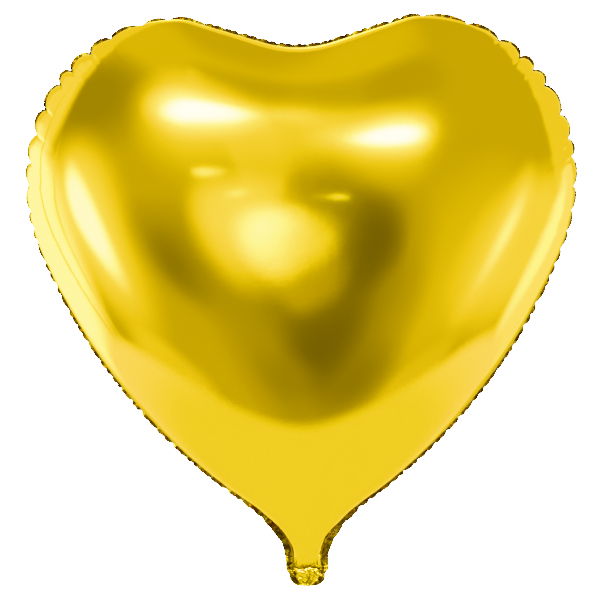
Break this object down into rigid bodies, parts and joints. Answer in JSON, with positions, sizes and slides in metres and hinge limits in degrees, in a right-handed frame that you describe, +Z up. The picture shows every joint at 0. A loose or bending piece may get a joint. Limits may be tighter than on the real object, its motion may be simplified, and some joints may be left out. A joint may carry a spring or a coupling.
{
  "type": "heart-shaped foil balloon",
  "caption": "Gas-filled heart balloon of gold metallised film with a scalloped welded edge, a pinched neck and a short filling tail.",
  "frame": {"origin": "middle of the neck between the two sheets, at the height where a ribbon is tied", "axes": "+Z up through the heart from the neck to the dip between the lobes, +X to the heart's right seen from the front, front sheet facing -Y"},
  "size_m": [0.3644, 0.1564, 0.3764],
  "materials": {
    "gold_foil": "polished",
    "gold_weld": "polished",
    "valve_film": "satin"
  },
  "bodies": {
    "balloon": {"front_panel": "gold_foil", "rear_panel": "gold_foil", "edge_seal": "gold_weld", "valve_front_film": "valve_film", "valve_rear_film": "valve_film", "valve_seal_left": "valve_film", "valve_seal_right": "valve_film", "neck_seal_front": "valve_film", "neck_seal_rear": "valve_film"},
    "tail": {"tail_front": "gold_foil", "tail_rear": "gold_foil", "tail_seal_left": "gold_weld", "tail_seal_right": "gold_weld"}
  },
  "joints": [
    {"name": "tail_fold", "type": "hinge", "parent": "balloon", "child": "tail", "pos_m": [0, 0, -0.0075], "axis": [1, 0, 0], "range_deg": [-90, 90]}
  ]
}
